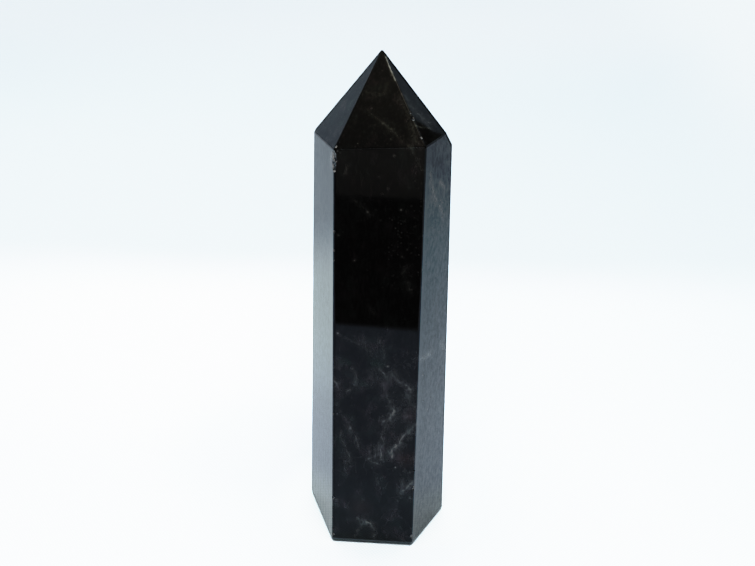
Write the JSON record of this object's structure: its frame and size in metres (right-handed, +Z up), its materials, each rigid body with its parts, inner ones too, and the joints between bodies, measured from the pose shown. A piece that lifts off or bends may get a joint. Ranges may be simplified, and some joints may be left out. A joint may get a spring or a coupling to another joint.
{
  "type": "morion quartz point",
  "caption": "Free-standing polished point of nearly black smoky quartz: a tapering six-sided prism, cut flat at the foot, with a faceted pyramid tip and small edge chips.",
  "frame": {"origin": "middle of the stone's own box, on the plane of its sawn foot", "axes": "+Z up along the stone from the foot to the tip, -Y towards the widest clear side that is taken as the front, +X to its right"},
  "size_m": [0.0232, 0.0222, 0.0798],
  "materials": {
    "morion": "polished, glossy, opaque brownish black with faint pale veils under the surface"
  },
  "bodies": {
    "root": {"morion_point": "morion"}
  },
  "joints": []
}
